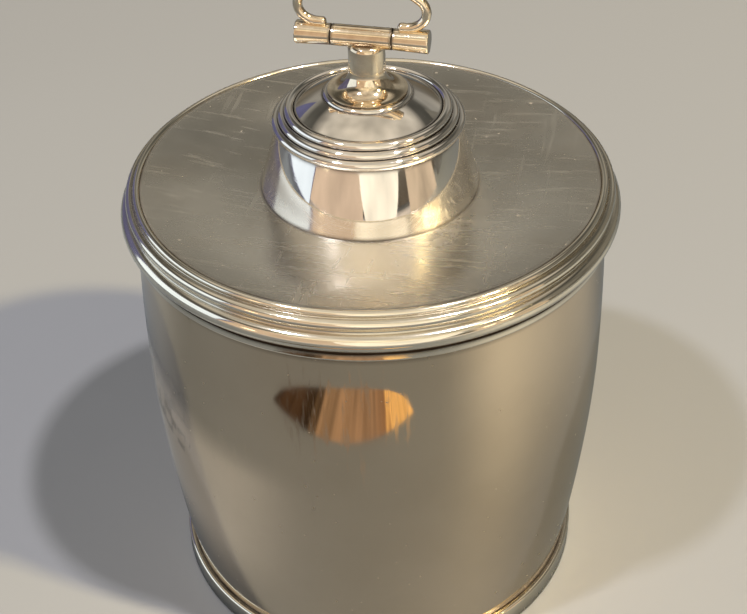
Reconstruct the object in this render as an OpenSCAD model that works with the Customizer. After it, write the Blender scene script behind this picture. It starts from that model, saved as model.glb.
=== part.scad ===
// Silver sugar bowl with a lift-off lid and a wire bail on a T-bar finial.
// Millimetres, +Z up. The origin is the centre of the foot, on the surface it stands on.
// The T-bar of the finial lies along X.

/* [Bowl] */
// Height of the seat where the lid rests on the mouth
mouth_z = 94.5; // [90:0.5:110]
// Outside radius of the wall at the mouth
mouth_r = 49.4; // [49:0.1:50]
// Outside radius of the barrel at its widest
belly_r = 50.7; // [50.2:0.1:52]
// Height of the widest place
belly_z = 58; // [50:1:66]
// Outside radius of the wall where it enters the foot ring
heel_r = 46.4; // [45:0.1:46.8]
// Thickness of the sheet that the bowl is spun from
wall = 0.9; // [0.7:0.1:1.2]
// Outside radius of the foot ring on the table
foot_r = 47.8; // [47.6:0.1:49]
// Height of the foot ring
foot_h = 5.2; // [4.6:0.1:6]
// Height of the applied band round the mouth
band_h = 2.7; // [2:0.1:4]
// Outside radius of the applied band
band_r = 50.9; // [50.6:0.1:51.2]

/* [Lid] */
// Radius of the disc inside the rim bead
disc_r = 47.9; // [47.5:0.1:48.2]
// Height of the disc's edge above the seat
disc_rise = 7.4; // [7:0.1:8]
// How far the disc is dished where it meets the dome
dish = 2.4; // [1:0.1:3]
// Radius of the disc's flat margin and of the lid's bore
lid_bore_r = 47.4; // [47.2:0.1:47.5]
// Thickness of the lid's sheet
lid_sheet = 0.8; // [0.6:0.1:1]
// Depth of the collar that drops into the mouth
bezel_depth = 5.5; // [4:0.5:8]
// Gap between that collar and the mouth
bezel_gap = 0.3; // [0.2:0.05:0.5]
// Radius of the large lower reed's section
big_reed_r = 1.95; // [1.8:0.05:2.1]
// Outside radius of the lid over the large reed
lid_r = 52.4; // [52.2:0.1:52.8]

/* [Dome] */
// Radius of the dome where it meets the disc
dome_foot_r = 22.9; // [22:0.1:24]
// Radius of the dome under the ringed collar
dome_top_r = 18.7; // [18.4:0.1:18.8]
// Height of the underside of the ringed collar above the seat
collar_z = 18.8; // [18:0.1:19.2]
// Number of rings in the collar
ring_count = 3; // [2:1:3]
// Radius of each ring's section
ring_r = 1; // [0.95:0.05:1.1]
// Step outwards from ring to ring
ring_out = 1.35; // [1.2:0.05:1.4]
// Step downwards from ring to ring
ring_down = 1.3; // [1.2:0.05:1.4]
// Height that the cap rises inside the collar
cap_rise = 2.7; // [2:0.1:3.2]

/* [Finial] */
// Height of the hinge axis above the seat
bar_z = 37.8; // [37:0.1:40]
// Sideways offset of the hand-set bar from the stem's axis
bar_shift = -0.8; // [-1:0.1:0]
// Half the length of the whole bar
bar_half = 13.4; // [13:0.1:14]
// Half the length of the fixed middle knuckle
knuckle_half = 6.1; // [5.5:0.1:6.5]
// Radius of the middle knuckle
knuckle_r = 2.15; // [1.9:0.05:2.3]
// Radius of an outer knuckle at its inner end
knuckle_in_r = 2.1; // [1.8:0.05:2.2]
// Radius of an outer knuckle at its outer end
knuckle_out_r = 2.35; // [2:0.05:2.5]
// Radius of the stem's neck
stem_r = 3.7; // [3.4:0.1:4]
// Radius of the stem's trumpet foot
trumpet_r = 8.1; // [7.8:0.1:8.2]
// Radius of the rounded ring under the stem's foot
boss_r = 9.1; // [9:0.1:9.2]
// Thickness of that ring
boss_h = 0.72; // [0.6:0.02:0.9]
// Radius of the hinge pin
pin_r = 0.7; // [0.6:0.05:0.8]
// Running clearance round the pin
pin_gap = 0.05; // [0.03:0.01:0.08]
// End play on each side of the middle knuckle
end_play = 0.1; // [0.08:0.01:0.15]
// Thickness of the discs that close the bar's ends
cap_disc_h = 0.6; // [0.5:0.1:1]
// Radius of the stud that holds the finial
stud_r = 1.5; // [1.25:0.05:1.75]

/* [Bail] */
// Radius of the wire
wire_r = 0.95; // [0.8:0.05:1.05]
// Half the width of the oval, to the middle of the wire
bail_half_w = 12.8; // [12.3:0.1:13]
// Height of the widest place above the hinge axis
bail_side_z = 6; // [5.8:0.1:6.5]
// Height of the arch above the widest place
bail_arch = 6.2; // [5.8:0.1:7]
// Radius of the bends at the sides
side_bend_r = 3; // [2.6:0.1:3.2]
// Radius of the bends that bring the ends in over the bar
end_bend_r = 4.6; // [4.2:0.1:5]
// Degrees that a side bend turns below the widest place
side_bend_down = 50; // [45:1:60]
// Distance from the bar's middle to the wire's tips
tip_x = 7.1; // [6.8:0.1:7.6]

/* [Hidden] */

$fn = 144;
small = 0.01;           // overshoot of a cutting shape past the face that it cuts

// Bowl
base_z = 3;             // underside of the wall and the base plate, inside the foot ring
base_h = 1;
edge_round = 0.7;       // rounded top edge of the foot ring and of the mouth band
wall_steps = 16;
mouth_in_r = mouth_r - wall;

// Lid, with heights above the seat
moulding_top = disc_rise - lid_sheet;
big_reed_x = lid_r - big_reed_r;
small_reed_r = 1.05;
small_reed_x = 50;
small_reed_z = moulding_top - small_reed_r;
cove_r = 0.75;
cove_x = 51.3;
cove_z = 4.35;
groove_r = 0.4;
groove_x = 49.75;
bead_r = 0.75;
bead_x = disc_r + bead_r + 0.03;
bead_z = moulding_top + 0.4;
bezel_r = mouth_in_r - bezel_gap;

// Dome and finial, with heights above the seat
dome_foot_z = disc_rise - dish;
dome_steps = 14;
lap = 1.6;              // width of the disc that lies under the dome's foot
ring_x = dome_top_r + 0.1 - (ring_count - 1) * ring_out;
ring_z = collar_z + ring_r + (ring_count - 1) * ring_down;
ledge_z = ring_z - 0.3; // ledge inside the innermost ring, where the cap rests
ledge_r = ring_x - ring_r - 0.05;
ledge_w = 1;
cap_edge_z = ledge_z + lid_sheet;
cap_seat_z = cap_edge_z + cap_rise;
cap_seat_r = boss_r + 0.1;
cap_steps = 8;
stem_z = cap_seat_z + boss_h;
trumpet_lip = 0.45;
trumpet_h = 4.2;
stem_round = 1.2;
stem_top = bar_z - 1;
washer_r = 4.5;
washer_h = 0.8;
nut_across = 5.5;
nut_h = 2.4;
stud_top = stem_z + 5;
stud_bottom = cap_seat_z - lid_sheet - washer_h - nut_h - 1;

// Points of a profile's arc: centre, radius, first and last angle, number of steps
function arc(x, z, r, a0, a1, n = 8) =
    [for (i = [0 : n]) let (a = a0 + (a1 - a0) * i / n) [x + r * cos(a), z + r * sin(a)]];

// Radius of the barrel's outside at a height: one curve from belly to heel, another from belly to mouth
function barrel_r(z) = z < belly_z
    ? belly_r - (belly_r - heel_r) * pow((belly_z - z) / (belly_z - foot_h), 1.7)
    : belly_r - (belly_r - mouth_r) * pow((z - belly_z) / (mouth_z - belly_z), 2);

// Radius of the dome's outside at a fraction of its height: a cone, slightly crowned
function dome_r(t) = dome_foot_r - (dome_foot_r - dome_top_r) * (0.8 * t + 0.2 * t * t);

// Height of the cap's outside, from its seat in the middle to its edge, at a fraction of that width
function cap_z(t) = cap_seat_z - cap_rise * (0.75 * t + 0.25 * t * t);

// Turned shape from a profile of [radius, height] points
module turned(points) {
    rotate_extrude() polygon(points);
}

// Bowl: the wall
module body_shell() {
    outside = [for (i = [0 : wall_steps]) let (z = foot_h + (mouth_z - foot_h) * i / wall_steps)
        [barrel_r(z), z]];
    inside = [for (i = [wall_steps : -1 : 0]) let (z = foot_h + (mouth_z - foot_h) * i / wall_steps)
        [barrel_r(z) - wall, z]];
    color("silver") turned(concat([[heel_r - wall, base_z], [heel_r, base_z]], outside, inside));
}

// Bowl: the flat bottom inside the wall's heel
module base_plate() {
    color("silver") translate([0, 0, base_z]) cylinder(r = heel_r - wall, h = base_h);
}

// Bowl: the plain ring that it stands on, with a rounded top edge and a ledge under the wall
module foot_ring() {
    bottom_round = 0.4;
    ledge = 1.4;
    color("silver") turned(concat(
        [[heel_r - ledge, 0]],
        arc(foot_r - bottom_round, bottom_round, bottom_round, -90, 0, 4),
        arc(foot_r - edge_round, foot_h - edge_round, edge_round, 0, 90, 6),
        [[heel_r, foot_h], [heel_r, base_z], [heel_r - ledge, base_z]]));
}

// Bowl: the band round the mouth, flush with the seat, its inside following the wall
module mouth_band() {
    low = mouth_z - band_h;
    inside_steps = 4;
    inside = [for (i = [0 : inside_steps]) let (z = mouth_z - band_h * i / inside_steps) [barrel_r(z), z]];
    color("silver") turned(concat(inside,
        arc(band_r - edge_round, low + edge_round, edge_round, -90, 0, 6),
        arc(band_r - edge_round, mouth_z - edge_round, edge_round, 0, 90, 6)));
}

// Lid: the dished disc, flat where it rests on the moulding
module lid_disc() {
    top = [[disc_r, disc_rise], [lid_bore_r - small, disc_rise],
           [dome_foot_r, dome_foot_z], [dome_foot_r - lap, dome_foot_z]];
    low = [for (i = [3 : -1 : 0]) [top[i][0], top[i][1] - lid_sheet]];
    color("silver") translate([0, 0, mouth_z]) turned(concat(top, low));
}

// Lid: the reeded moulding, a small reed above a cove and a large reed, which hangs over the mouth
module rim_moulding() {
    color("silver") translate([0, 0, mouth_z]) rotate_extrude() difference() {
        union() {
            translate([lid_bore_r, 0]) square([big_reed_x - lid_bore_r, moulding_top - small_reed_r]);
            translate([lid_bore_r, 0]) square([small_reed_x - lid_bore_r, moulding_top]);
            translate([big_reed_x, big_reed_r]) circle(r = big_reed_r);
            translate([small_reed_x, small_reed_z]) circle(r = small_reed_r);
            translate([small_reed_x, 2 * big_reed_r - 0.5]) square([0.8, small_reed_z - 2 * big_reed_r + 0.5]);
        }
        translate([cove_x, cove_z]) circle(r = cove_r);
        translate([groove_x, moulding_top + groove_r / 2]) circle(r = groove_r);
    }
}

// Lid: the half-round bead between the disc and the moulding
module rim_bead() {
    color("silver") translate([0, 0, mouth_z]) rotate_extrude() intersection() {
        translate([bead_x, bead_z]) circle(r = bead_r);
        translate([disc_r, moulding_top]) square(2 * bead_r + 1);
    }
}

// Lid: the collar that drops into the mouth
module lid_bezel() {
    color("silver") translate([0, 0, mouth_z - bezel_depth]) difference() {
        cylinder(r = bezel_r, h = bezel_depth);
        translate([0, 0, -small]) cylinder(r = lid_bore_r, h = bezel_depth + 2 * small);
    }
}

// Lid: the wall of the dome
module dome() {
    outside = [for (i = [0 : dome_steps]) let (t = i / dome_steps)
        [dome_r(t), dome_foot_z + (collar_z - dome_foot_z) * t]];
    inside = [for (i = [dome_steps : -1 : 0]) [outside[i][0] - lid_sheet, outside[i][1]]];
    color("silver") translate([0, 0, mouth_z]) turned(concat(outside, inside));
}

// Lid: the stepped collar, rings that go down and out from the cap
module ringed_collar() {
    low_x = dome_top_r + 0.1;
    color("silver") translate([0, 0, mouth_z]) rotate_extrude() union() {
        for (i = [0 : ring_count - 1])
            translate([ring_x + i * ring_out, ring_z - i * ring_down]) circle(r = ring_r);
        polygon([[ledge_r - ledge_w, collar_z], [low_x, collar_z], [low_x, collar_z + ring_r],
                 [ring_x, ring_z], [ring_x, ledge_z], [ledge_r - ledge_w, ledge_z]]);
    }
}

// Lid: the shallow cap inside the collar, flat where the finial stands
module dome_cap() {
    edge = 0.4;
    width = ledge_r - edge - cap_seat_r;
    top = concat([[stud_r, cap_seat_z]],
        [for (i = [0 : cap_steps]) let (t = i / cap_steps) [cap_seat_r + width * t, cap_z(t)]],
        [[ledge_r, cap_edge_z]]);
    low = concat([[ledge_r, ledge_z], [ledge_r - ledge_w, ledge_z]],
        [for (i = [cap_steps - 2 : -1 : 0]) let (t = i / cap_steps)
            [cap_seat_r + width * t, cap_z(t) - lid_sheet]],
        [[stud_r, cap_seat_z - lid_sheet]]);
    color("silver") translate([0, 0, mouth_z]) turned(concat(top, low));
}

// Lid: the rounded ring under the stem's foot
module boss_ring() {
    flat_r = boss_r - boss_h;
    color("silver") translate([0, 0, mouth_z + cap_seat_z])
        turned(concat([[stud_r, 0]], arc(flat_r, 0, boss_h, 0, 90, 8), [[stud_r, boss_h]]));
}

// Lid: the stem, a trumpet foot under a round neck, cradling the middle knuckle
module stem() {
    curve_w = trumpet_r - stem_r;
    flare = [for (i = [0 : 10]) let (a = 90 * i / 10)
        [trumpet_r - curve_w * sin(a), stem_z + trumpet_lip + trumpet_h * (1 - cos(a))]];
    color("silver") translate([0, 0, mouth_z]) difference() {
        turned(concat([[0, stem_z], [trumpet_r, stem_z]], flare,
            arc(stem_r - stem_round, stem_top - stem_round, stem_round, 0, 90, 6), [[0, stem_top]]));
        translate([0, 0, stem_z - small]) cylinder(r = stud_r, h = stud_top - stem_z + small);
        translate([0, 0, bar_z]) rotate([0, 90, 0]) cylinder(r = knuckle_r, h = 4 * stem_r, center = true);
    }
}

// Places its children along the bar: the hinge axis becomes the local Z, and local X points down
module on_bar(x) {
    translate([bar_shift + x, 0, mouth_z + bar_z]) rotate([0, 90, 0]) children();
}

// Lid: the fixed middle knuckle, bored for the pin
module centre_knuckle() {
    color("silver") on_bar(-knuckle_half) difference() {
        cylinder(r = knuckle_r, h = 2 * knuckle_half);
        translate([0, 0, -small]) cylinder(r = pin_r + pin_gap, h = 2 * knuckle_half + 2 * small);
    }
}

// Lid: the stud from the stem down through the cap
module finial_stud() {
    color("silver") translate([0, 0, mouth_z + stud_bottom]) cylinder(r = stud_r, h = stud_top - stud_bottom);
}

// Lid: the washer under the cap
module finial_washer() {
    color("silver") translate([0, 0, mouth_z + cap_seat_z - lid_sheet - washer_h]) difference() {
        cylinder(r = washer_r, h = washer_h);
        translate([0, 0, -small]) cylinder(r = stud_r, h = washer_h + 2 * small);
    }
}

// Lid: the hexagon nut on the stud
module finial_nut() {
    color("silver") translate([0, 0, mouth_z + cap_seat_z - lid_sheet - washer_h - nut_h]) difference() {
        cylinder(r = nut_across / 2 / cos(30), h = nut_h, $fn = 6);
        translate([0, 0, -small]) cylinder(r = stud_r, h = nut_h + 2 * small);
    }
}

// Bail: one outer knuckle, slightly wider at its outer end; side is -1 on the left and 1 on the right
module outer_knuckle(side) {
    start = knuckle_half + end_play;
    length = bar_half - cap_disc_h - start;
    color("silver") on_bar(0) mirror([0, 0, side < 0 ? 1 : 0]) translate([0, 0, start]) difference() {
        cylinder(r1 = knuckle_in_r, r2 = knuckle_out_r, h = length);
        translate([0, 0, -small]) cylinder(r = pin_r, h = length + 2 * small);
    }
}

module left_knuckle() { outer_knuckle(-1); }
module right_knuckle() { outer_knuckle(1); }

// Bail: the disc that closes one end of the bar, its outer edge rounded
module end_cap(side) {
    rounding = 0.25;
    color("silver") on_bar(0) mirror([0, 0, side < 0 ? 1 : 0])
        translate([0, 0, bar_half - cap_disc_h])
            turned(concat([[0, 0], [knuckle_out_r, 0]],
                arc(knuckle_out_r - rounding, cap_disc_h - rounding, rounding, 0, 90, 4), [[0, cap_disc_h]]));
}

module left_cap() { end_cap(-1); }
module right_cap() { end_cap(1); }

// Bail: the pin, fast in the outer knuckles and free in the middle one
module hinge_pin() {
    length = 2 * (bar_half - cap_disc_h);
    color("silver") on_bar(-length / 2) cylinder(r = pin_r, h = length);
}

// Stations along the bail's wire on the right, from the top of the arch to the tip: each is
// [x, z, angle of the outward direction, wire radius], in the plane of the bail
function bail_bend(x, z, radius, a0, a1, n) =
    [for (p = arc(x, z, radius, a0, a1, n)) [p[0], p[1], atan2(p[1] - z, p[0] - x), wire_r]];
bail_side_x = bail_half_w - side_bend_r;
arch_turn = 90 - 2 * atan((bail_arch - side_bend_r) / bail_side_x);
arch_r = side_bend_r + bail_side_x / cos(arch_turn);
end_x = bail_side_x - (end_bend_r - side_bend_r) * cos(side_bend_down);
end_z = bail_side_z + (end_bend_r - side_bend_r) * sin(side_bend_down);
right_bail = concat(
    bail_bend(0, bail_side_z + bail_arch - arch_r, arch_r, 90, arch_turn, 7),
    bail_bend(bail_side_x, bail_side_z, side_bend_r, arch_turn - 9, -side_bend_down + 9, 10),
    bail_bend(end_x, end_z, end_bend_r, -side_bend_down, -90, 4),
    [[tip_x + wire_r / 2, end_z - end_bend_r, -90, wire_r],
     [tip_x, end_z - end_bend_r, -90, wire_r / 2]]);
left_bail = [for (i = [len(right_bail) - 1 : -1 : 1]) let (p = right_bail[i]) [-p[0], p[1], 180 - p[2], p[3]]];

// Round tube through stations in the XZ plane, closed by a flat face at each end
module wire_tube(stations, sides = 16) {
    rings = len(stations);
    points = [for (p = stations) for (j = [0 : sides - 1]) let (b = 360 * j / sides)
        [p[0] + p[3] * cos(b) * cos(p[2]), p[3] * sin(b), p[1] + p[3] * cos(b) * sin(p[2])]];
    skin = [for (i = [0 : rings - 2]) for (j = [0 : sides - 1]) let (k = (j + 1) % sides)
        [i * sides + j, i * sides + k, (i + 1) * sides + k, (i + 1) * sides + j]];
    first = [for (j = [sides - 1 : -1 : 0]) j];
    last = [for (j = [0 : sides - 1]) (rings - 1) * sides + j];
    polyhedron(points, concat(skin, [first, last]), convexity = 4);
}

// Bail: the bent wire, its ends bedded on the outer knuckles
module bail_wire() {
    color("silver") difference() {
        translate([bar_shift, 0, mouth_z + bar_z]) wire_tube(concat(left_bail, right_bail));
        on_bar(0) for (side = [0, 1]) mirror([0, 0, side]) translate([0, 0, knuckle_half + end_play])
            cylinder(r1 = knuckle_in_r, r2 = knuckle_out_r, h = bar_half - cap_disc_h - knuckle_half - end_play);
    }
}

body_shell();
base_plate();
foot_ring();
mouth_band();
lid_disc();
rim_moulding();
rim_bead();
lid_bezel();
dome();
ringed_collar();
dome_cap();
boss_ring();
stem();
centre_knuckle();
finial_stud();
finial_washer();
finial_nut();
left_knuckle();
right_knuckle();
hinge_pin();
left_cap();
right_cap();
bail_wire();
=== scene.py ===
"""Silver sugar bowl: turned silver surfaces, the bent bail, their finishes and the studio."""
import math

import bpy
import numpy as np
from mathutils import Euler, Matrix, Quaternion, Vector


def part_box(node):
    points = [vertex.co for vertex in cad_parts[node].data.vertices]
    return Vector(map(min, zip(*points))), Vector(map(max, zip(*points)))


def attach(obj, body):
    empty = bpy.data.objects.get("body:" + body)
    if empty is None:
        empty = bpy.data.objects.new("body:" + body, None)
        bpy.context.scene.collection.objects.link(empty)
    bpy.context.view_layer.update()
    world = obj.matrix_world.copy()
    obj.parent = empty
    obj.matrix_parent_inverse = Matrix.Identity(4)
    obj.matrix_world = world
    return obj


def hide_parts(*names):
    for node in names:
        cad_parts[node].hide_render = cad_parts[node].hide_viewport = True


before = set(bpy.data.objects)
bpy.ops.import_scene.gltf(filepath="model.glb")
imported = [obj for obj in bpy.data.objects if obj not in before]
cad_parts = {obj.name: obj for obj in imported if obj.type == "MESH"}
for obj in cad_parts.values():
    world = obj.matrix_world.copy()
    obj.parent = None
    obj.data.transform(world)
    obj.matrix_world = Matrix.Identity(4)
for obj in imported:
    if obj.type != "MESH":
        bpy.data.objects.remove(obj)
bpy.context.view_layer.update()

MM = 0.001
TURN_STEPS = 320                     # steps round the bowl and the lid
SMALL_STEPS = 160                    # steps round the dome and the finial
COLLAR_STEPS = 200                   # steps round the collar and the cap
BAR_STEPS = 72                       # steps round the T-bar
SAME_POINT = 1e-4                    # points of an outline nearer than this are one
ON_AXIS = 1e-6                       # a radius no larger than this is on the axis


# ---------------------------------------------------------------- measures, in millimetres

def size_of(node):
    """Lowest and highest corner of a CAD node, in millimetres."""
    low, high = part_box(node)
    return np.array(low) / MM, np.array(high) / MM


SEAT = size_of("body_shell")[1][2]                   # where the lid rests on the mouth
WALL_FOOT = size_of("body_shell")[0][2]
BELLY_R = size_of("body_shell")[1][0]
WALL = 0.9                                           # sheet of the bowl
SHEET = 0.8                                          # sheet of the lid
FOOT_R = size_of("foot_ring")[1][0]
FOOT_H = size_of("foot_ring")[1][2]
HEEL_R = size_of("base_plate")[1][0] + WALL
BASE_TOP = size_of("base_plate")[1][2]
BAND_R = size_of("mouth_band")[1][0]
BAND_LOW = size_of("mouth_band")[0][2]
BEZEL_R = size_of("lid_bezel")[1][0]
BEZEL_LOW = size_of("lid_bezel")[0][2]
BEZEL_GAP = 0.3                                      # free space round the lid's bezel
MOUTH_R = BEZEL_R + BEZEL_GAP + WALL
BELLY_Z = 58.0                                       # height where the wall is widest
DISC_R = size_of("lid_disc")[1][0]
DISC_Z = size_of("lid_disc")[1][2]
LID_R = size_of("rim_moulding")[1][0]
LID_BORE_R = 47.4                                    # bore of the moulding and the bezel
MOULDING_TOP = size_of("rim_moulding")[1][2]
DOME_FOOT_R = size_of("dome")[1][0]
DOME_FOOT_Z = size_of("dome")[0][2]
DOME_TOP_R = 18.7                                    # the dome's radius under the collar
COLLAR_Z = size_of("ringed_collar")[0][2]
CAP_EDGE_R = size_of("dome_cap")[1][0]
CAP_LOW = size_of("dome_cap")[0][2]
CAP_SEAT_Z = size_of("dome_cap")[1][2]
BOSS_R = size_of("boss_ring")[1][0]
BOSS_TOP = size_of("boss_ring")[1][2]
TRUMPET_R = size_of("stem")[1][0]
STEM_R = 3.7                                         # the stem's neck
STUD_HOLE_R = 1.55                                   # hole for the stud in the cap and the boss ring
BAR_LOW, BAR_HIGH = size_of("centre_knuckle")
BAR = (BAR_LOW + BAR_HIGH) / 2                       # middle of the T-bar
KNUCKLE_R = (BAR_HIGH[2] - BAR_LOW[2]) / 2
KNUCKLE_HALF = (BAR_HIGH[0] - BAR_LOW[0]) / 2
OUTER_IN_R = 2.1                                     # outer part of the bar, at its inner end
OUTER_OUT_R = (size_of("right_cap")[1][2] - size_of("right_cap")[0][2]) / 2
OUTER_START = size_of("right_knuckle")[0][0] - BAR[0]
OUTER_END = size_of("right_knuckle")[1][0] - BAR[0]
BAR_END = size_of("right_cap")[1][0] - BAR[0]
PIN_R = 0.7                                          # hinge pin


# ---------------------------------------------------------------- curves

def arc(x, z, radius, start, end, steps=12):
    """Points of a circle's arc from start to end, in degrees anticlockwise from +X."""
    a = np.radians(np.linspace(start, end, steps + 1))
    return np.stack([x + radius * np.cos(a), z + radius * np.sin(a)], 1)


def crossing(x0, z0, r0, x1, z1, r1, side):
    """One of the two points that two circles share, on the given side of the line between their centres."""
    gap = math.hypot(x1 - x0, z1 - z0)
    along = (r0 * r0 - r1 * r1 + gap * gap) / (2 * gap)
    off = side * math.sqrt(r0 * r0 - along * along)
    ux, uz = (x1 - x0) / gap, (z1 - z0) / gap
    return x0 + along * ux - off * uz, z0 + along * uz + off * ux


def angle_at(x, z, point):
    """Direction in degrees from a centre to a point."""
    return math.degrees(math.atan2(point[1] - z, point[0] - x))


def join(*pieces):
    """One outline from arcs, points and lists of points, in order."""
    return np.concatenate([np.atleast_2d(np.asarray(p, float)) for p in pieces])


# ---------------------------------------------------------------- meshes

def mesh_from_grid(name, points, close_u, close_v, sharp_rows=(), tarnish_and_shade=None):
    """Mesh from an array of points[u, v]: neighbours on the grid are joined by quads, and a row whose
    points all fall together becomes one pole. Rows named in sharp_rows keep a crisp edge, and each row
    has its own amount of tarnish and painted shade, from 0 to 1."""
    rows, columns = points.shape[:2]
    u = np.arange(rows if close_u else rows - 1)
    v = np.arange(columns if close_v else columns - 1)
    uu, vv = np.meshgrid(u, v, indexing="ij")
    un, vn = (uu + 1) % rows, (vv + 1) % columns
    index = np.arange(rows * columns).reshape(rows, columns)
    spread = np.ptp(points.reshape(rows, columns, 3), axis=1).max(1)
    index[spread < 1e-9] = index[spread < 1e-9][:, :1]
    quads = np.stack([index[uu, vv], index[uu, vn], index[un, vn], index[un, vv]], -1).reshape(-1, 4)
    used, flat = np.unique(quads, return_inverse=True)
    quads = flat.reshape(-1, 4)
    vertices = points.reshape(-1, 3)[used] * MM
    three = (quads[:, 0] == quads[:, 1]) | (quads[:, 2] == quads[:, 3])
    faces = [list(dict.fromkeys(q)) for q in quads[three].tolist()] + quads[~three].tolist()
    mesh = bpy.data.meshes.new(name)
    mesh.from_pydata(vertices.tolist(), [], faces)
    mesh.update()
    mesh.polygons.foreach_set("use_smooth", np.ones(len(mesh.polygons), bool))
    row_of = np.repeat(np.arange(rows), columns)[used]
    # Per-row amount of tarnish and of painted shade, darkest in creases and gaps
    if tarnish_and_shade is not None:
        layer = mesh.attributes.new("tarnish_and_shade", "FLOAT", "POINT")
        layer.data.foreach_set("value", np.asarray(tarnish_and_shade, np.float32)[row_of])
    if len(sharp_rows):
        where = np.zeros(rows * columns, bool)
        where[(np.array(sharp_rows)[:, None] * columns + np.arange(columns)).ravel()] = True
        sharp_vertex = where[used]
        ends = np.empty(len(mesh.edges) * 2, np.int32)
        mesh.edges.foreach_get("vertices", ends)
        ends = ends.reshape(-1, 2)
        along = sharp_vertex[ends].all(1) & (row_of[ends[:, 0]] == row_of[ends[:, 1]])
        layer = mesh.attributes.new("sharp_edge", "BOOLEAN", "EDGE")
        layer.data.foreach_set("value", along)
    piece = bpy.data.objects.new(name, mesh)
    bpy.context.scene.collection.objects.link(piece)
    return piece


def corners(outline, closed, limit=24.0):
    """Rows of an outline where it turns by more than limit degrees, which stay crisp."""
    before = outline - np.roll(outline, 1, 0)
    after = np.roll(outline, -1, 0) - outline
    turn = np.degrees(np.abs(np.angle((after[:, 0] + 1j * after[:, 1]) / (before[:, 0] + 1j * before[:, 1] + 1e-12))))
    rows = np.nonzero(turn > limit)[0]
    return rows if closed else rows[(rows > 0) & (rows < len(outline) - 1)]


def tarnish_and_shade_along(outline, marks):
    """Tarnish and painted shade along an outline: each mark (radius, height, reach, amount) darkens the points round
    it, falling off as a bell of that reach."""
    total = np.zeros(len(outline))
    for x, z, span, amount in marks:
        away = np.hypot(outline[:, 0] - x, outline[:, 1] - z)
        total = np.maximum(total, amount * np.exp(-(away / span) ** 2))
    return total


def turned(name, outline, steps=SMALL_STEPS, along_x=False, marks=()):
    """Surface of revolution: the outline's points (radius, height) go round the axis in equal steps. The
    outline runs with the solid on its left, and closes on itself unless it meets the axis. Marks say
    where tarnish gathers and where shade is painted into creases and gaps."""
    outline = np.asarray(outline, float)
    step = np.hypot(*np.diff(outline, axis=0, append=outline[:1]).T)
    outline = outline[step > SAME_POINT]
    closed = outline[:, 0].min() > ON_AXIS
    angle = np.linspace(0, 2 * math.pi, steps, endpoint=False)
    radius, height = outline[:, 0][:, None], outline[:, 1][:, None]
    across, beside, along = radius * np.cos(angle), radius * np.sin(angle), height + 0 * angle
    if along_x:
        points = np.stack([along + BAR[0], across + BAR[1], beside + BAR[2]], -1)
    else:
        points = np.stack([across, beside, along], -1)
    return mesh_from_grid(name, points, closed, True, corners(outline, closed), tarnish_and_shade_along(outline, marks))


def tube(name, centres, outward, radii, steps=28):
    """Round tube along a path in the XZ plane: each ring lies across the path, between the outward direction
    and Y. The ends close to a point."""
    b = np.linspace(0, 2 * math.pi, steps, endpoint=False)
    ring = (outward[:, None, :] * np.cos(b)[None, :, None]
            + np.array([0.0, 1.0, 0.0]) * np.sin(b)[None, :, None]) * radii[:, None, None]
    return mesh_from_grid(name, (centres[:, None, :] + ring)[::-1], False, True)


# ---------------------------------------------------------------- finishes

def add(tree, kind, **inputs):
    """New shader node with some of its inputs or settings filled in."""
    node = tree.nodes.new(kind)
    for key, value in inputs.items():
        if key in node.inputs:
            node.inputs[key].default_value = value
        else:
            setattr(node, key, value)
    return node


def spread_value(tree, value, low, high, out_low, out_high):
    """Clamped linear change of a value from low..high to out_low..out_high."""
    node = add(tree, "ShaderNodeMapRange")
    tree.links.new(value, node.inputs["Value"])
    for key, number in (("From Min", low), ("From Max", high), ("To Min", out_low), ("To Max", out_high)):
        node.inputs[key].default_value = number
    return node.outputs["Result"]


def noise(tree, where, scale, detail=4.0, roughness=0.5, stretch=(1, 1, 1), turn=0.0):
    """Noise on Object coordinates, stretched and turned about Z by a Mapping node."""
    mapping = add(tree, "ShaderNodeMapping")
    mapping.inputs["Scale"].default_value = stretch
    mapping.inputs["Rotation"].default_value = (0, 0, turn)
    tree.links.new(where, mapping.inputs["Vector"])
    node = add(tree, "ShaderNodeTexNoise", Scale=scale, Detail=detail, Roughness=roughness)
    tree.links.new(mapping.outputs["Vector"], node.inputs["Vector"])
    return node.outputs["Fac"]


def combine(tree, operation, a, b):
    """Math on two values or sockets."""
    node = add(tree, "ShaderNodeMath", operation=operation)
    for socket, value in zip(node.inputs, (a, b)):
        if isinstance(value, (int, float)):
            socket.default_value = value
        else:
            tree.links.new(value, socket)
    return node.outputs["Value"]


OXIDE_AND_SHADE = (0.045, 0.03, 0.02)          # brown-black of tarnish in the hollows, and painted shade in creases and gaps
CROSSING_TURN = 0.35                 # radians between the two sets of fine scratches


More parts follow.
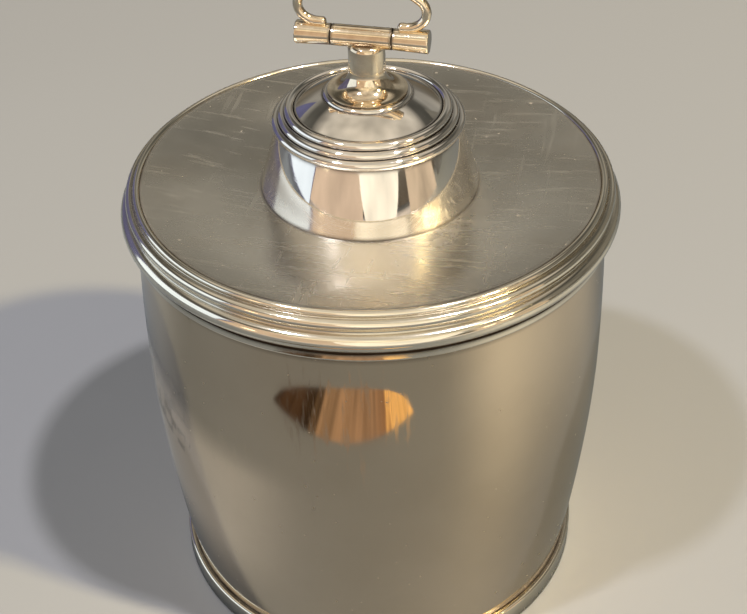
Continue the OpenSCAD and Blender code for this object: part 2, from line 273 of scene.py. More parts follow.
def silver(name, clean, dull, polish, haze, scratch=0.15, scratch_stretch=(1, 1, 1), smudge_scale=28.0,
           speck=0.0, bump=0.05, stain=0.35):
    """Handled silver. Its roughness goes from polish to haze over smudges and fine scratches, its colour
    from clean to dull in slight stains, and small specks are pitted into it. Where the tarnish attribute is high
    it turns rougher and brown-black: tarnish, and painted shade in creases and gaps."""
    material = bpy.data.materials.new(name)
    material.use_nodes = True
    tree = material.node_tree
    shader = tree.nodes["Principled BSDF"]
    shader.inputs["Metallic"].default_value = 1.0
    where = add(tree, "ShaderNodeTexCoord").outputs["Object"]
    smudge = noise(tree, where, smudge_scale, 5.0, 0.62)
    scratches = noise(tree, where, 620.0, 3.0, 0.7, scratch_stretch)
    x, y, z = scratch_stretch
    crossing_scratches = noise(tree, where, 480.0, 2.0, 0.6, (y, x, z), CROSSING_TURN)
    fine = combine(tree, "MAXIMUM", spread_value(tree, scratches, 0.56, 0.72, 0.0, 1.0),
                   spread_value(tree, crossing_scratches, 0.62, 0.76, 0.0, 0.8))
    soft = spread_value(tree, smudge, 0.34, 0.68, polish, haze)
    rough = combine(tree, "ADD", soft, combine(tree, "MULTIPLY", fine, scratch))
    pits = noise(tree, where, 900.0, 1.0, 0.3)
    pits_mask = combine(tree, "MULTIPLY", spread_value(tree, pits, 0.79, 0.81, 0.0, 1.0), speck)
    rough = combine(tree, "ADD", rough, combine(tree, "MULTIPLY", pits_mask, 0.35))
    tarnish_and_shade_rough = add(tree, "ShaderNodeAttribute", attribute_name="tarnish_and_shade").outputs["Fac"]
    rough = combine(tree, "ADD", rough, combine(tree, "MULTIPLY", tarnish_and_shade_rough, 0.3))
    tree.links.new(rough, shader.inputs["Roughness"])
    mix = add(tree, "ShaderNodeMix", data_type="RGBA")
    stains = noise(tree, where, smudge_scale * 1.7, 6.0, 0.6)
    amount = combine(tree, "MAXIMUM", spread_value(tree, stains, 0.42, 0.78, 0.0, stain),
                     combine(tree, "MULTIPLY", pits_mask, 0.5))
    tree.links.new(amount, mix.inputs["Factor"])
    mix.inputs[6].default_value = (*clean, 1)
    mix.inputs[7].default_value = (*dull, 1)
    # Brown-black from the tarnish attribute: tarnish, and painted shade in creases and gaps
    oxide_and_shade_mix = add(tree, "ShaderNodeMix", data_type="RGBA")
    tarnish_and_shade_amount = add(tree, "ShaderNodeAttribute", attribute_name="tarnish_and_shade").outputs["Fac"]
    uneven = combine(tree, "MULTIPLY", tarnish_and_shade_amount, spread_value(tree, stains, 0.3, 0.7, 0.75, 1.25))
    dark = add(tree, "ShaderNodeClamp")
    tree.links.new(uneven, dark.inputs["Value"])
    tree.links.new(dark.outputs["Result"], oxide_and_shade_mix.inputs["Factor"])
    tree.links.new(mix.outputs[2], oxide_and_shade_mix.inputs[6])
    oxide_and_shade_mix.inputs[7].default_value = (*OXIDE_AND_SHADE, 1)
    tree.links.new(oxide_and_shade_mix.outputs[2], shader.inputs["Base Color"])
    relief = combine(tree, "SUBTRACT", combine(tree, "MULTIPLY", smudge, 0.6),
                     combine(tree, "MULTIPLY", combine(tree, "ADD", fine, pits_mask), 0.25))
    dent = add(tree, "ShaderNodeBump", Strength=bump, Distance=0.0002)
    tree.links.new(relief, dent.inputs["Height"])
    tree.links.new(dent.outputs["Normal"], shader.inputs["Normal"])
    return material


DULL = (0.62, 0.5, 0.36)
BODY_SILVER = silver("body_silver", (0.77, 0.64, 0.48), DULL, 0.02, 0.1, scratch=0.16,
                     scratch_stretch=(1.0, 1.0, 0.12), speck=0.8, bump=0.04)
INSIDE_SILVER = silver("inside_silver", (0.9, 0.86, 0.78), DULL, 0.28, 0.42, scratch=0.1,
                       scratch_stretch=(1.0, 1.0, 0.3), bump=0.08, stain=0.6)
DISC_SILVER = silver("disc_silver", (0.9, 0.85, 0.75), DULL, 0.22, 0.3, scratch=0.1,
                     scratch_stretch=(0.05, 1.0, 1.0), speck=0.8, bump=0.05, stain=0.3)
REED_SILVER = silver("reed_silver", (0.96, 0.89, 0.75), DULL, 0.06, 0.13, scratch=0.06, speck=0.3, bump=0.03,
                     stain=0.25)
DOME_SILVER = silver("dome_silver", (0.95, 0.9, 0.83), DULL, 0.03, 0.08, scratch=0.05, speck=0.3, bump=0.02,
                     stain=0.15)
FINIAL_SILVER = silver("finial_silver", (0.95, 0.82, 0.62), (0.5, 0.31, 0.18), 0.05, 0.12, scratch=0.08,
                       smudge_scale=160.0, speck=0.3, bump=0.05, stain=0.5)
PLAIN_METAL = silver("plain_metal", (0.62, 0.6, 0.56), (0.4, 0.37, 0.32), 0.3, 0.45, smudge_scale=300.0,
                     bump=0.1)


def place(piece, body, node, material):
    """The piece stands for the CAD node of that name, moves with its body and takes a finish."""
    piece.data.materials.append(material)
    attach(piece, body)
    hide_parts(node)


# ---------------------------------------------------------------- bowl

def barrel_radius(z):
    """Radius of the wall's outside: widest at the belly, falling as a power of the distance from it."""
    up = (z - BELLY_Z) / (SEAT - BELLY_Z)
    down = (BELLY_Z - z) / (BELLY_Z - FOOT_H)
    rise = BELLY_R - (BELLY_R - MOUTH_R) * np.clip(up, 0, None) ** 2
    return rise - (BELLY_R - HEEL_R) * np.clip(down, 0, None) ** 1.7


def body_shell():
    """Wall: the barrel curve up the outside, a rounded lip, and the same curve less the sheet down inside."""
    z = np.linspace(FOOT_H, SEAT - WALL / 2, 90)
    outside = np.stack([barrel_radius(z), z], 1)
    lip = arc(MOUTH_R - WALL / 2, SEAT - WALL / 2, WALL / 2, 0, 180, 10)
    inside = np.stack([barrel_radius(z) - WALL, z], 1)[::-1]
    outline = join([HEEL_R - WALL, WALL_FOOT], [HEEL_R, WALL_FOOT], outside, lip, inside)
    # Marks: tarnish and painted shade in the creases under the band and above the foot
    marks = [(barrel_radius(BAND_LOW), BAND_LOW, 0.9, 0.75), (HEEL_R, FOOT_H, 0.9, 0.9)]
    place(turned("body_shell_skin", outline, TURN_STEPS, marks=marks), "bowl", "body_shell", BODY_SILVER)


def base_plate():
    """Bottom of the bowl: a flat disc, very slightly domed upwards under the middle."""
    radius = HEEL_R - WALL
    r = np.linspace(0, radius - 1.2, 24)
    sag = 0.5 * (1 - (r / radius) ** 2)
    low = np.stack([r, WALL_FOOT + sag], 1)
    top = np.stack([r, BASE_TOP - 0.5 + sag], 1)[::-1]
    outline = join(low, [radius, WALL_FOOT], [radius, BASE_TOP - 0.5], top)
    place(turned("base_plate_skin", outline, TURN_STEPS), "bowl", "base_plate", INSIDE_SILVER)


def foot_ring():
    """Foot: a plain band with a rounded top edge, flat below, stepped in under the wall."""
    ledge, low_round, top_round = 1.4, 0.4, 0.7
    outline = join([HEEL_R - ledge, 0.25], [HEEL_R - ledge + 0.25, 0],
                   arc(FOOT_R - low_round, low_round, low_round, -90, 0, 6),
                   arc(FOOT_R - top_round, FOOT_H - top_round, top_round, 0, 90, 10),
                   [HEEL_R, FOOT_H], [HEEL_R, WALL_FOOT], [HEEL_R - ledge, WALL_FOOT])
    # Marks: tarnish and painted shade where the foot meets the wall and the floor
    marks = [(HEEL_R, FOOT_H, 0.5, 1.0), (FOOT_R, 0, 0.6, 0.9)]
    place(turned("foot_ring_skin", outline, TURN_STEPS, marks=marks), "bowl", "foot_ring", REED_SILVER)


def mouth_band():
    """Band round the mouth: its outside is rounded above and below, its inside follows the wall."""
    rounding = 0.7
    # The first mark is painted shade and painted reflection: a dark line along the band's top, under the lid's large
    # reed, whose dark underside the band mirrors. The second is tarnish and painted shade at the band's lower edge.
    marks = [(BAND_R - 0.1, SEAT - 0.3, 0.75, 1.4), (BAND_R - rounding, BAND_LOW, 0.5, 0.9)]
    z = np.linspace(SEAT, BAND_LOW, 6)
    run = np.linspace(BAND_LOW + rounding, SEAT - rounding, 10)[1:-1]
    outline = join(np.stack([barrel_radius(z), z], 1),
                   arc(BAND_R - rounding, BAND_LOW + rounding, rounding, -90, 0, 12),
                   np.stack([BAND_R + 0 * run, run], 1),
                   arc(BAND_R - rounding, SEAT - rounding, rounding, 0, 90, 16))
    place(turned("mouth_band_skin", outline, TURN_STEPS, marks=marks), "bowl", "mouth_band", REED_SILVER)


# ---------------------------------------------------------------- lid

def lid_disc():
    """Top sheet: a flat margin, then a dish that eases down to the dome's foot."""
    lap = 1.6
    t = np.linspace(0, 1, 40)
    ease = t - 0.06 * np.sin(2 * math.pi * t)
    r = LID_BORE_R - (LID_BORE_R - DOME_FOOT_R) * t
    top = np.stack([r, DISC_Z - (DISC_Z - DOME_FOOT_Z) * ease], 1)
    low = top[::-1] - [0, SHEET]
    outline = join([DISC_R, DISC_Z - SHEET], [DISC_R, DISC_Z], top, [DOME_FOOT_R - lap, DOME_FOOT_Z],
                   [DOME_FOOT_R - lap, DOME_FOOT_Z - SHEET], low)
    marks = [(DISC_R, DISC_Z, 0.35, 0.8), (DOME_FOOT_R, DOME_FOOT_Z, 0.3, 0.6)]
    place(turned("lid_disc_skin", outline, TURN_STEPS, marks=marks), "lid", "lid_disc", DISC_SILVER)


BIG_REED = (LID_R - 1.95, SEAT + 1.95, 1.95)          # centre radius, centre height, section radius
SMALL_REED = (50.0, MOULDING_TOP - 1.05, 1.05)
COVE = (51.3, SEAT + 4.35, 0.75)
GROOVE = (49.75, MOULDING_TOP + 0.2, 0.4)


def rim_moulding():
    """Reeded rim: the large reed, a cove cut between it and the small reed, and a groove beside the bead."""
    low = crossing(*BIG_REED, *COVE, 1)
    high = crossing(*COVE, *SMALL_REED, 1)
    rise = crossing(*SMALL_REED, *GROOVE, 1)
    cove_from, cove_to = angle_at(*COVE[:2], low) % 360, angle_at(*COVE[:2], high) % 360
    groove_x = math.sqrt(GROOVE[2] ** 2 - (GROOVE[1] - MOULDING_TOP) ** 2)
    groove_end = (GROOVE[0] - groove_x, MOULDING_TOP)
    outline = join([LID_BORE_R, SEAT],
                   arc(*BIG_REED, -90, angle_at(*BIG_REED[:2], low), 40),
                   arc(*COVE, cove_from, cove_to, 14),
                   arc(*SMALL_REED, angle_at(*SMALL_REED[:2], high), angle_at(*SMALL_REED[:2], rise) % 360, 26),
                   arc(*GROOVE, angle_at(*GROOVE[:2], rise) % 360, angle_at(*GROOVE[:2], groove_end) % 360, 8),
                   [LID_BORE_R, MOULDING_TOP])
    # The cove and groove marks are tarnish and painted shade. The last two are painted shade: a dark line along the
    # large reed's underside, where the lid sits on the band.
    marks = [(COVE[0] - 0.3, COVE[1], 0.7, 0.5), (GROOVE[0], GROOVE[1] - 0.3, 0.4, 0.5),
             (BIG_REED[0] + 0.4, SEAT, 1.3, 1.0), (LID_R - 0.62, SEAT + 0.52, 0.4, 0.95)]
    place(turned("rim_moulding_skin", outline, TURN_STEPS, marks=marks), "lid", "rim_moulding",
          REED_SILVER)


def rim_bead():
    """Bead beside the disc: the part of a round wire that stands above the moulding."""
    radius = 0.75
    x, z = DISC_R + radius + 0.03, MOULDING_TOP + 0.4
    below = math.degrees(math.asin(0.4 / radius))
    outline = arc(x, z, radius, -below, 180 + below, 24)
    marks = [(x - radius, MOULDING_TOP + 0.3, 0.4, 0.5), (x + radius, MOULDING_TOP, 0.4, 0.5)]
    place(turned("rim_bead_skin", outline, TURN_STEPS, marks=marks), "lid", "rim_bead", REED_SILVER)


def lid_bezel():
    """Collar that drops into the mouth, its lower edges eased."""
    ease = 0.25
    outline = join(arc(LID_BORE_R + ease, BEZEL_LOW + ease, ease, 180, 270, 4),
                   arc(BEZEL_R - ease, BEZEL_LOW + ease, ease, -90, 0, 4), [BEZEL_R, SEAT], [LID_BORE_R, SEAT])
    place(turned("lid_bezel_skin", outline, TURN_STEPS), "lid", "lid_bezel", INSIDE_SILVER)


def dome():
    """Bell: a cone, slightly crowned, whose radius falls by 0.8 of the height's share and 0.2 of its square."""
    t = np.linspace(0, 1, 60)
    r = DOME_FOOT_R - (DOME_FOOT_R - DOME_TOP_R) * (0.8 * t + 0.2 * t * t)
    outside = np.stack([r, DOME_FOOT_Z + (COLLAR_Z - DOME_FOOT_Z) * t], 1)
    outline = join(outside, outside[::-1] - [SHEET, 0])
    # Marks: tarnish and painted shade in the crease at the dome's foot and under the collar
    marks = [(DOME_FOOT_R, DOME_FOOT_Z, 0.5, 0.8), (DOME_TOP_R, COLLAR_Z, 0.6, 0.9)]
    place(turned("dome_skin", outline, marks=marks), "lid", "dome", DOME_SILVER)


def ringed_collar():
    """Collar: three rings of one section that step down and out, over a flat underside."""
    ring_r, out, down, count = 1.0, 1.35, 1.3, 3
    first_x, first_z = DOME_TOP_R + 0.1 - (count - 1) * out, COLLAR_Z + ring_r + (count - 1) * down
    rings = [(first_x + i * out, first_z - i * down, ring_r) for i in range(count)]
    bore = CAP_EDGE_R - 1.0
    outline = [np.array([[bore, COLLAR_Z]])]
    # Marks: tarnish and painted shade under the collar and in the grooves where its rings meet
    start, marks = -90.0, [(rings[-1][0], COLLAR_Z, 0.9, 1.0)]
    for lower, upper in zip(rings[:0:-1], rings[-2::-1]):
        meet = crossing(*lower, *upper, -1)
        marks.append((*meet, 0.3, 1.0))
        outline.append(arc(*lower, start, angle_at(*lower[:2], meet), 22))
        start = angle_at(*upper[:2], meet)
    outline.append(arc(*rings[0], start, 180, 26))
    outline.append(np.array([[CAP_EDGE_R, CAP_LOW], [bore, CAP_LOW]]))
    place(turned("ringed_collar_skin", np.concatenate(outline), COLLAR_STEPS, marks=marks), "lid",
          "ringed_collar", DOME_SILVER)


def dome_cap():
    """Cap: flat where the finial stands, then a curve that steepens to the collar."""
    seat_r, edge = BOSS_R + 0.1, 0.4
    edge_z = CAP_LOW + SHEET
    t = np.linspace(0, 1, 24)
    r = seat_r + (CAP_EDGE_R - edge - seat_r) * t
    top = np.stack([r, CAP_SEAT_Z - (CAP_SEAT_Z - edge_z) * (0.75 * t + 0.25 * t * t)], 1)[::-1]
    low = top[::-1][:-5] - [0, SHEET]
    outline = join([CAP_EDGE_R, CAP_LOW], [CAP_EDGE_R, edge_z], top, [STUD_HOLE_R, CAP_SEAT_Z],
                   [STUD_HOLE_R, CAP_SEAT_Z - SHEET], low, [CAP_EDGE_R - 1.0, CAP_LOW])
    marks = [(CAP_EDGE_R, edge_z, 0.3, 0.9), (BOSS_R, CAP_SEAT_Z, 0.3, 0.8)]
    place(turned("dome_cap_skin", outline, COLLAR_STEPS, marks=marks), "lid", "dome_cap", DOME_SILVER)


# ---------------------------------------------------------------- finial

def boss_ring():
    """Rounded ring under the stem: a flat ring whose edge is a quarter round."""
    thick = BOSS_TOP - CAP_SEAT_Z
    outline = join([STUD_HOLE_R, CAP_SEAT_Z], arc(BOSS_R - thick, CAP_SEAT_Z, thick, 0, 90, 14),
                   [STUD_HOLE_R, BOSS_TOP])
    marks = [(BOSS_R, CAP_SEAT_Z, 0.2, 0.9), (TRUMPET_R, BOSS_TOP, 0.3, 0.8)]
    place(turned("boss_ring_skin", outline, marks=marks), "lid", "boss_ring", DOME_SILVER)


def stem():
    """Stem: a lip, a quarter ellipse that sweeps in to the neck, and a rounded top under the bar."""
    lip, rise, rounding = 0.45, 4.2, 1.2
    top = BAR[2] - 1.0
    a = np.radians(np.linspace(0, 90, 30))
    flare = np.stack([TRUMPET_R - (TRUMPET_R - STEM_R) * np.sin(a), BOSS_TOP + lip + rise * (1 - np.cos(a))], 1)
    outline = join([0, BOSS_TOP], [TRUMPET_R - 0.15, BOSS_TOP], [TRUMPET_R, BOSS_TOP + 0.15], flare,
                   arc(STEM_R - rounding, top - rounding, rounding, 0, 90, 12), [0, top])
    marks = [(TRUMPET_R, BOSS_TOP, 0.25, 0.9), (STEM_R - rounding, top, 0.7, 0.7)]
    place(turned("stem_skin", outline, marks=marks), "lid", "stem", FINIAL_SILVER)


def centre_knuckle():
    """Middle of the T-bar: a tube along X, its end edges eased."""
    ease, bore = 0.15, PIN_R + 0.05
    half = KNUCKLE_HALF
    run = np.linspace(half - ease, -half + ease, 22)[1:-1]
    outline = join([bore, -half], [bore, half], arc(KNUCKLE_R - ease, half - ease, ease, 90, 0, 4),
                   np.stack([KNUCKLE_R + 0 * run, run], 1), arc(KNUCKLE_R - ease, -half + ease, ease, 0, -90, 4))
    marks = [(KNUCKLE_R, half, 0.25, 1.0), (KNUCKLE_R, -half, 0.25, 1.0)]
    place(turned("centre_knuckle_skin", outline[::-1], BAR_STEPS, along_x=True, marks=marks), "lid", "centre_knuckle",
          FINIAL_SILVER)


def outer_knuckle(side, name):
    """One end of the T-bar: a tube that widens outwards, its inner edge eased."""
    ease = 0.15
    t = np.linspace(0, 1, 16)[1:, None]
    run = np.array([OUTER_IN_R, OUTER_START + ease]) * (1 - t) + np.array([OUTER_OUT_R, OUTER_END]) * t
    outline = join([PIN_R, OUTER_START], [OUTER_IN_R - ease, OUTER_START],
                   arc(OUTER_IN_R - ease, OUTER_START + ease, ease, -90, 0, 4), run, [PIN_R, OUTER_END])
    if side < 0:
        outline = (outline * [1, -1])[::-1]
    marks = [(OUTER_IN_R, side * OUTER_START, 0.25, 1.0)]
    place(turned(name + "_skin", outline, BAR_STEPS, along_x=True, marks=marks), "bail", name,
          FINIAL_SILVER)


def end_cap(side, name):
    """Disc that closes one end of the T-bar, with a rounded outer edge."""
    rounding = 0.25
    outline = join([0, OUTER_END], [OUTER_OUT_R, OUTER_END],
                   arc(OUTER_OUT_R - rounding, BAR_END - rounding, rounding, 0, 90, 6), [0, BAR_END])
    if side < 0:
        outline = (outline * [1, -1])[::-1]
    place(turned(name + "_skin", outline, BAR_STEPS, along_x=True), "bail", name, FINIAL_SILVER)


# ---------------------------------------------------------------- bail

def bail_wire():
    """Bent wire: a shallow arch, a tight bend at each side, a wider bend that brings each end in over the
    bar, and a short straight tip that thins where it is bedded on the knuckle."""
    wire = 0.95                      # the wire's radius
    half_w = 12.8                    # half of the bail's width
    side_z, arch_h = 6.0, 6.2        # height of the side bends over the bar, and of the arch over them
    side_r, end_r = 3.0, 4.6         # radii of the side bend and of the bend to the tip
    down = 50.0                      # where the side bend ends, in degrees below level
    tip = 7.1                        # distance of the tip from the middle of the bar
    rounding = 0.4                   # length over which the wire's end is rounded off
    side_x = half_w - side_r
    up = 90 - 2 * math.degrees(math.atan((arch_h - side_r) / side_x))
    arch_r = side_r + side_x / math.cos(math.radians(up))
    end_x = side_x - (end_r - side_r) * math.cos(math.radians(down))
    end_z = side_z + (end_r - side_r) * math.sin(math.radians(down))
    bends = [(0, side_z + arch_h - arch_r, arch_r, 90, up, 30), (side_x, side_z, side_r, up, -down, 40),
             (end_x, end_z, end_r, -down, -90, 16)]
    centres, angles = [], []
    for x, z, radius, start, end, steps in bends:
        a = np.linspace(start, end, steps + 1)[:-1]
        centres.append(np.stack([x + radius * np.cos(np.radians(a)), z + radius * np.sin(np.radians(a))], 1))
        angles.append(a)
    straight = np.array([1.0, 0.8, 0.6, 0.4, 0.25, 0.12, 0.04, 0.0])
    centres.append(np.stack([tip + (end_x - tip) * straight, 0 * straight + end_z - end_r], 1))
    angles.append(np.full(len(straight), -90.0))
    half, a = np.concatenate(centres), np.concatenate(angles)
    radius = np.full(len(half), wire)
    radius[-len(straight):] = wire * np.sqrt(np.clip(1 - (1 - np.clip(straight / rounding, 0, 1)) ** 2, 0, 1))
    left = half[:0:-1] * [-1, 1]
    path = np.concatenate([left, half])
    turn = np.radians(np.concatenate([180 - a[:0:-1], a]))
    radii = np.concatenate([radius[:0:-1], radius])
    points = np.stack([path[:, 0] + BAR[0], 0 * turn + BAR[1], path[:, 1] + BAR[2]], 1)
    outward = np.stack([np.cos(turn), 0 * turn, np.sin(turn)], 1)
    place(tube("bail_wire_skin", points, outward, radii), "bail", "bail_wire", FINIAL_SILVER)


for build in (body_shell, base_plate, foot_ring, mouth_band, lid_disc, rim_moulding, rim_bead, lid_bezel, dome,
              ringed_collar, dome_cap, boss_ring, stem, centre_knuckle, bail_wire):
    build()
for side, word in ((-1, "left"), (1, "right")):
    outer_knuckle(side, word + "_knuckle")
    end_cap(side, word + "_cap")
for node in ("finial_stud", "finial_washer", "finial_nut", "hinge_pin"):
    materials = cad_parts[node].data.materials
    materials.clear()
    materials.append(PLAIN_METAL)


# ---------------------------------------------------------------- studio

def plain(name, colour, roughness):
    """Plain matt material of the studio."""
    material = bpy.data.materials.new(name)
    material.use_nodes = True
    shader = material.node_tree.nodes["Principled BSDF"]
    shader.inputs["Base Color"].default_value = (*colour, 1)
    shader.inputs["Roughness"].default_value = roughness
    return material


def sheet_of(name, corners_m, material):
    """One flat four-sided stage sheet."""
    mesh = bpy.data.meshes.new(name)
    mesh.from_pydata(corners_m, [], [(0, 1, 2, 3)])
    mesh.materials.append(material)
    piece = bpy.data.objects.new(name, mesh)
    bpy.context.scene.collection.objects.link(piece)


def softbox(name, place_m, aim_m, size, power, colour):
    """Rectangular soft light at a place, aimed at a point."""
    data = bpy.data.lights.new(name, "AREA")
    data.shape, data.size, data.size_y = "RECTANGLE", size[0], size[1]
    data.energy, data.color = power, colour
    lamp = bpy.data.objects.new(name, data)
    bpy.context.scene.collection.objects.link(lamp)
    lamp.location = place_m
    way = np.array(aim_m) - np.array(place_m)
    flat = math.hypot(way[0], way[1])
    lamp.rotation_euler = (math.atan2(flat, -way[2]), 0, math.atan2(way[1], way[0]) - math.pi / 2)
    lamp.visible_camera = False


def pale_floor(pale, mirrored, roughness):
    """Plain pale floor. Polished silver mirrors it as a mid grey, like the counter that it stood on."""
    material = plain("pale_floor", pale, roughness)
    tree = material.node_tree
    mix = add(tree, "ShaderNodeMix", data_type="RGBA")
    tree.links.new(add(tree, "ShaderNodeLightPath").outputs["Is Glossy Ray"], mix.inputs["Factor"])
    mix.inputs[6].default_value = (*pale, 1)
    mix.inputs[7].default_value = (*mirrored, 1)
    tree.links.new(mix.outputs[2], tree.nodes["Principled BSDF"].inputs["Base Color"])
    return material


FLOOR_HALF = 3.0
FLOOR_PALE = pale_floor((0.38, 0.385, 0.38), (0.128, 0.145, 0.160), 0.55)
sheet_of("floor", [(-FLOOR_HALF, -FLOOR_HALF, 0), (FLOOR_HALF, -FLOOR_HALF, 0), (FLOOR_HALF, FLOOR_HALF, 0),
                   (-FLOOR_HALF, FLOOR_HALF, 0)], FLOOR_PALE)


def room():
    """World light: each height above the horizon has its own brightness, like a wall under a ceiling, with
    large soft patches in it. It lights matt surfaces less than it shows in silver."""
    world = bpy.data.worlds.new("room")
    bpy.context.scene.world = world
    world.use_nodes = True
    tree = world.node_tree
    way = add(tree, "ShaderNodeTexCoord").outputs["Generated"]
    parts = add(tree, "ShaderNodeSeparateXYZ")
    tree.links.new(way, parts.inputs[0])
    ramp = add(tree, "ShaderNodeValToRGB")
    stops = [(0.0, (0.21, 0.17, 0.12)), (0.16, (0.26, 0.23, 0.18)), (0.3, (0.50, 0.47, 0.41)),
             (0.46, (0.46, 0.44, 0.39)), (0.56, (0.15, 0.145, 0.125)), (0.68, (0.12, 0.115, 0.10)),
             (0.8, (0.95, 0.87, 0.74)), (1.0, (1.0, 0.90, 0.74))]
    while len(ramp.color_ramp.elements) < len(stops):
        ramp.color_ramp.elements.new(0.5)
    for element, (position, colour) in zip(ramp.color_ramp.elements, stops):
        element.position, element.color = position, (*colour, 1)
    tree.links.new(parts.outputs["Z"], ramp.inputs["Fac"])
    patches = add(tree, "ShaderNodeTexNoise", Scale=2.4, Detail=2.0)
    tree.links.new(way, patches.inputs["Vector"])
    level = spread_value(tree, patches.outputs["Fac"], 0.3, 0.7, 0.55, 1.45)
    scattered = add(tree, "ShaderNodeLightPath").outputs["Is Diffuse Ray"]
    level = combine(tree, "MULTIPLY", level, spread_value(tree, scattered, 0.0, 1.0, 1.0, 0.2))
    background = tree.nodes["Background"]
    tree.links.new(ramp.outputs["Color"], background.inputs["Color"])
    tree.links.new(combine(tree, "MULTIPLY", level, ROOM_LIGHT), background.inputs["Strength"])


ROOM_LIGHT = 0.6
room()
bpy.context.scene.view_settings.view_transform = "Standard"

# Camera: its azimuth is how far the T-bar is turned, right end nearer
VIEW_AZIMUTH = math.radians(13.5)
CAMERA_HEIGHT = math.radians(32.1)   # elevation of the camera seen from the middle of the disc
CAMERA_PITCH = math.radians(37.85)
CAMERA_ROLL = math.radians(-1.54)
CAMERA_REACH = 0.288                 # metres from the disc's middle
LENS_MM = 66.0
SENSOR_MM = 36.0


def aimed(azimuth, out, up):
    """Point at a distance out from the axis towards an azimuth, at a height, in metres."""
    return np.array([math.sin(azimuth) * out, -math.cos(azimuth) * out, up])


camera_data = bpy.data.cameras.new("camera")
camera_data.lens = LENS_MM
camera_data.sensor_width = SENSOR_MM
camera = bpy.data.objects.new("camera", camera_data)
bpy.context.scene.collection.objects.link(camera)
camera.location = aimed(VIEW_AZIMUTH, CAMERA_REACH * math.cos(CAMERA_HEIGHT),
                        DISC_Z * MM + CAMERA_REACH * math.sin(CAMERA_HEIGHT))
camera.rotation_mode = "QUATERNION"
camera.rotation_quaternion = (Euler((math.pi / 2 - CAMERA_PITCH, 0, VIEW_AZIMUTH)).to_quaternion()
                              @ Quaternion((0, 0, 1), CAMERA_ROLL))
bpy.context.scene.camera = camera


def from_view(right, away, up):
    """Point given to the right of, away from and above the foot's middle as the camera sees it, in metres."""
    c, n = math.cos(VIEW_AZIMUTH), math.sin(VIEW_AZIMUTH)
    return (right * c - away * n, right * n + away * c, up)


def card(name, points, colour, brightness, variation=0.25, scale=3.0, fade=0.0):
    """Glowing sheet that only shows as a reflection: points[u, v] on a grid, with soft uneven patches. A fade
    makes it clear at its edges, and its glow rises smoothly over that share of its width and of its length."""
    rows, columns = points.shape[:2]
    index = np.arange(rows * columns).reshape(rows, columns)
    quads = np.stack([index[:-1, :-1], index[:-1, 1:], index[1:, 1:], index[1:, :-1]], -1).reshape(-1, 4)
    mesh = bpy.data.meshes.new(name)
    mesh.from_pydata(points.reshape(-1, 3).tolist(), [], quads.tolist())
    material = bpy.data.materials.new(name + "_glow")
    material.use_nodes = True
    tree = material.node_tree
    tree.nodes.remove(tree.nodes["Principled BSDF"])
    glow = add(tree, "ShaderNodeEmission")
    glow.inputs["Color"].default_value = (*colour, 1)
    where = add(tree, "ShaderNodeTexCoord").outputs["Object"]
    patches = noise(tree, where, scale, 2.0)
    strength = spread_value(tree, patches, 0.3, 0.7, brightness * (1 - variation), brightness * (1 + variation))
    shown = glow.outputs["Emission"]
    if fade:
        u, v = np.meshgrid(np.linspace(0, 1, rows), np.linspace(0, 1, columns), indexing="ij")
        rise = [np.clip(np.minimum(w, 1 - w) / fade, 0, 1) for w in (u, v)]
        level = np.prod([w * w * (3 - 2 * w) for w in rise], 0)
        mesh.attributes.new("level", "FLOAT", "POINT").data.foreach_set("value", level.ravel())
        strength = combine(tree, "MULTIPLY", strength, add(tree, "ShaderNodeAttribute",
                                                           attribute_name="level").outputs["Fac"])
        both = add(tree, "ShaderNodeAddShader")
        tree.links.new(shown, both.inputs[0])
        tree.links.new(add(tree, "ShaderNodeBsdfTransparent").outputs[0], both.inputs[1])
        shown = both.outputs[0]
    tree.links.new(strength, glow.inputs["Strength"])
    tree.links.new(shown, tree.nodes["Material Output"].inputs["Surface"])
    mesh.materials.append(material)
    piece = bpy.data.objects.new(name, mesh)
    bpy.context.scene.collection.objects.link(piece)
    piece.visible_camera = piece.visible_diffuse = piece.visible_shadow = False
    return piece


def wall_card(name, azimuth, height, reach, colour, brightness, arch=0.0, **more):
    """Part of an upright cylinder round the bowl, between two azimuths from the viewer, positive to the
    right, and two heights above the horizon, in degrees. An arch makes its lower end round, like half an
    ellipse."""
    share = np.linspace(0, 1, 14)[:, None]
    narrow = np.sqrt(1 - (arch * (1 - share)) ** 2)
    middle, half = sum(azimuth) / 2, (azimuth[1] - azimuth[0]) / 2
    side = np.radians(middle + half * narrow * np.linspace(-1, 1, 24)[None, :]) + VIEW_AZIMUTH
    up = np.tan(np.radians(height[0] + (height[1] - height[0]) * share)) * reach + DISC_Z * MM
    points = np.stack([np.sin(side) * reach + 0 * up, -np.cos(side) * reach + 0 * up, up + 0 * side], -1)
    return card(name, points, colour, brightness, **more)


LAMP_REACH = 2.5

# Ceiling lamps: side, way towards the viewer and height above the horizon of each, as its shadow falls
for name, right, near, height, power, tint in (("lamp_right", 0.90, 0.44, 47, 46.5, (1.0, 0.82, 0.44)),
                                               ("lamp_top", 0.85, 0.53, 66.5, 30.0, (0.95, 0.92, 1.0)),
                                               ("lamp_left", -0.83, 0.55, 61, 22.0, (0.85, 0.88, 1.0))):
    out = LAMP_REACH * math.cos(math.radians(height))
    softbox(name, from_view(right * out, -near * out, LAMP_REACH * math.sin(math.radians(height))), (0, 0, 0.05),
            (0.13, 0.13), power, tint)

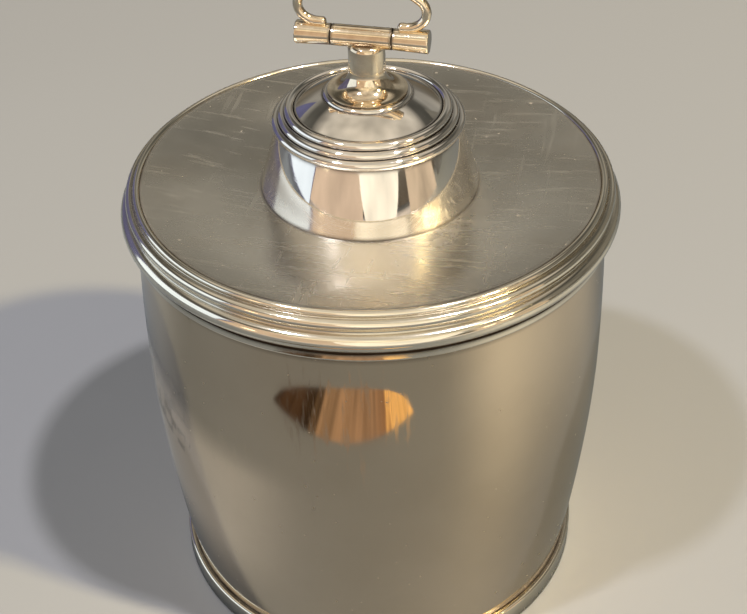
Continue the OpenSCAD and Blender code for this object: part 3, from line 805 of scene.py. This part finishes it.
wall_card("window_pane", (-114, -63), (-6, 26), 0.8, (0.8, 0.9, 1.0), 1.15, arch=0.4, variation=0.1)
wall_card("window_shade", (-150, -60), (-9, 28), 0.9, (0.3, 0.3, 0.55), 0.4, arch=0.5, variation=0.2)
wall_card("wall_left", (-66, -8), (-12, 34), 1.25, (1.0, 0.76, 0.56), 0.66, variation=0.15)
wall_card("wall_lit", (-17, 37), (-8, 30), 1.1, (1.0, 0.92, 0.76), 1.1, arch=0.95, variation=0.2)
wall_card("wall_right", (40, 74), (-8, 26), 1.2, (1.0, 0.78, 0.55), 0.62, variation=0.3)
wall_card("wall_olive", (78, 140), (-8, 34), 1.5, (1.0, 0.93, 0.78), 0.16, variation=0.3)
for name, azimuth, height in (("spot_left", -50, 8), ("spot_right", 46, 10), ("spot_far_right", 55, 18)):
    wall_card(name, (azimuth - 2.5, azimuth + 2.5), (height - 3, height + 3), 0.7, (1.0, 0.85, 0.55), 3.0,
              variation=0.0)
v, u = np.meshgrid(np.linspace(-5.0, -1.5, 24), np.linspace(-4.0, 4.0, 24), indexing="ij")
card("ceiling_front", np.stack(from_view(u, v, 0 * u + 2.6), -1), (1.0, 0.86, 0.62), 0.8, variation=0.4, scale=1.3,
     fade=0.3)
# Counter as the bowl's wall mirrors it: azimuth, distance from the axis, colour and added brightness
for name, azimuth, reach, colour, brightness in (
        ("counter_right", (25, 130), (0.06, 0.45), (1.0, 0.93, 0.78), 0.28),
        ("counter_front", (-80, 80), (0.22, 2.6), (1.0, 0.80, 0.64), 0.42),
        ("counter_foot", (-160, -25), (0.045, 0.112), (1.0, 0.97, 0.92), 0.17),
        ("counter_left", (-172, -85), (0.08, 0.3), (0.9, 0.97, 1.0), 0.12)):
    out, side = np.meshgrid(np.linspace(*reach, 24), np.radians(np.linspace(*azimuth, 24)), indexing="ij")
    card(name, np.stack(from_view(np.sin(side) * out, -np.cos(side) * out, 0 * out + 0.002), -1), colour, brightness,
         fade=0.3)


def wood_front():
    """Wood seen in the bowl beyond the counter: its near edge is straight, its far edge an arc, and it runs
    from dark boards on the left through pale wood to an orange end on the right."""
    t = np.linspace(0, 1, 40)
    near = np.stack([-0.1 + 0.138 * t, -0.1115 - 0.0335 * t], 1)
    bulge = 0.036 * np.sqrt(np.clip(1 - (2 * t - 1) ** 2, 0, 1))
    far = near + np.stack([-0.1 * bulge, -bulge], 1)
    share = np.linspace(0, 1, 6)[:, None, None]
    flat = near[None] * (1 - share) + far[None] * share
    points = np.stack(from_view(flat[..., 0], flat[..., 1], 0 * flat[..., 0] + 0.001), -1)
    piece = card("wood_front", points, (1, 1, 1), 1.0)
    tree = piece.data.materials[0].node_tree
    glow = next(n for n in tree.nodes if n.type == "EMISSION")
    for link in list(glow.inputs["Strength"].links):
        tree.links.remove(link)
    where = add(tree, "ShaderNodeTexCoord").outputs["Object"]
    turn = add(tree, "ShaderNodeMapping")
    turn.inputs["Rotation"].default_value = (0, 0, -VIEW_AZIMUTH)
    tree.links.new(where, turn.inputs["Vector"])
    parts = add(tree, "ShaderNodeSeparateXYZ")
    tree.links.new(turn.outputs["Vector"], parts.inputs[0])
    boards = add(tree, "ShaderNodeTexNoise", Scale=260.0, Detail=3.0)
    stretch = add(tree, "ShaderNodeMapping")
    stretch.inputs["Scale"].default_value = (1.0, 0.04, 1.0)
    tree.links.new(turn.outputs["Vector"], stretch.inputs["Vector"])
    tree.links.new(stretch.outputs["Vector"], boards.inputs["Vector"])
    across = spread_value(tree, parts.outputs["X"], -0.1, 0.038, 0.0, 1.0)
    wavering = combine(tree, "ADD", across, spread_value(tree, boards.outputs["Fac"], 0.3, 0.7, -0.05, 0.05))
    ramp = add(tree, "ShaderNodeValToRGB")
    stops = [(0.0, (0.04, 0.022, 0.012)), (0.16, (0.075, 0.04, 0.02)), (0.24, (0.03, 0.018, 0.01)),
             (0.34, (0.3, 0.19, 0.11)), (0.7, (0.36, 0.22, 0.13)), (0.80, (0.26, 0.14, 0.07)),
             (0.85, (0.95, 0.55, 0.19)), (1.0, (0.85, 0.5, 0.18))]
    while len(ramp.color_ramp.elements) < len(stops):
        ramp.color_ramp.elements.new(0.5)
    for element, (position, colour) in zip(ramp.color_ramp.elements, stops):
        element.position, element.color = position, (*colour, 1)
    tree.links.new(wavering, ramp.inputs["Fac"])
    tree.links.new(ramp.outputs["Color"], glow.inputs["Color"])
    grain = spread_value(tree, boards.outputs["Fac"], 0.35, 0.65, 0.85, 1.5)
    tree.links.new(grain, glow.inputs["Strength"])


wood_front()
